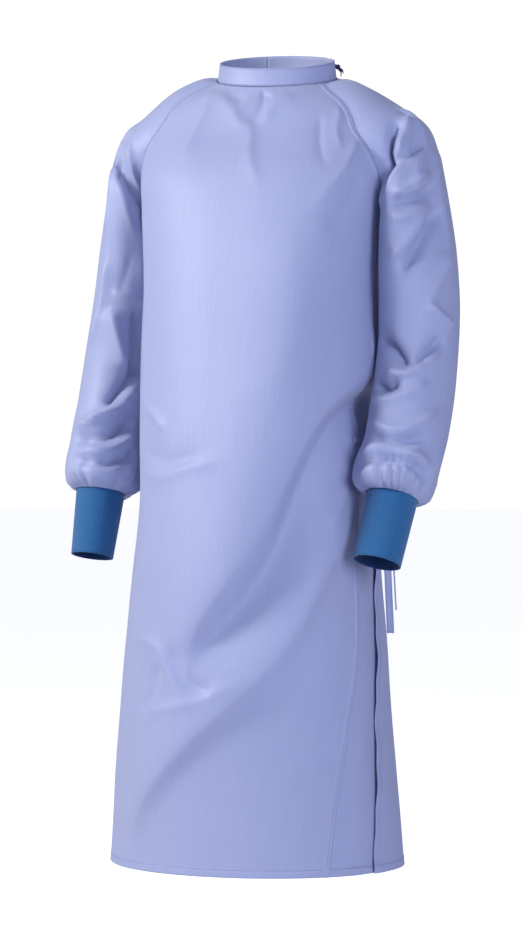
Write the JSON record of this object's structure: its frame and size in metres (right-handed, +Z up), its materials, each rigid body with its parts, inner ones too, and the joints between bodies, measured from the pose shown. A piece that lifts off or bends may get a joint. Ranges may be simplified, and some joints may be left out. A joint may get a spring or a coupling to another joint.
{
  "type": "cover gown",
  "caption": "Long-sleeved wrap-round theatre cover gown with raglan sleeves, knitted cuffs, a stand neck band and tied fastenings, in its worn form and empty.",
  "frame": {"origin": "middle of the neck opening at the height of the neck seam on the shoulders, where the wearer's neck and shoulders hold the gown", "axes": "+Z up, the front faces -Y, the wearer's left is +X"},
  "size_m": [0.6216, 0.4125, 1.2483],
  "materials": {
    "gown_cloth": "periwinkle polyester-cotton weave with a slight sheen",
    "cuff_knit": "blue rib knit, matt",
    "neck_tape": "navy woven tape, matt"
  },
  "bodies": {
    "root": {"front_panel": "gown_cloth", "left_back_panel": "gown_cloth", "right_back_panel": "gown_cloth", "left_sleeve": "gown_cloth", "right_sleeve": "gown_cloth", "neck_band": "gown_cloth", "left_cuff": "cuff_knit", "right_cuff": "cuff_knit", "waist_tie_front": "gown_cloth", "waist_tie_back": "gown_cloth", "waist_tie_knot": "gown_cloth", "waist_tie_long_end": "gown_cloth", "waist_tie_short_end": "gown_cloth", "neck_tie_tape": "neck_tape", "neck_tie_knot": "neck_tape", "neck_tie_long_end": "neck_tape", "neck_tie_short_end": "neck_tape"}
  },
  "joints": []
}
